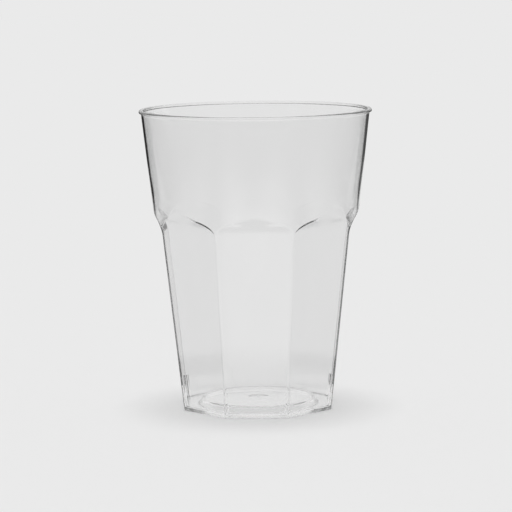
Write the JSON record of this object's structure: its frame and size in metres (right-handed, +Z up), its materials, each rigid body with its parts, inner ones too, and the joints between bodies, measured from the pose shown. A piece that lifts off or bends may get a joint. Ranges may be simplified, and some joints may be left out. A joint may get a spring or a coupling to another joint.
{
  "type": "plastic tumbler cup",
  "caption": "Clear moulded plastic tumbler: round flared mouth with a beaded rim over a flat-panelled, arch-topped, tapering body.",
  "frame": {"origin": "middle of the foot, on the plane the cup stands on", "axes": "+Z up the axis of the cup to its mouth; a flat panel faces each of +X, -X, +Y and -Y"},
  "size_m": [0.0854, 0.0854, 0.11],
  "materials": {
    "clear_plastic": "clear, glossy moulded polystyrene"
  },
  "bodies": {
    "root": {"tumbler": "clear_plastic"}
  },
  "joints": []
}
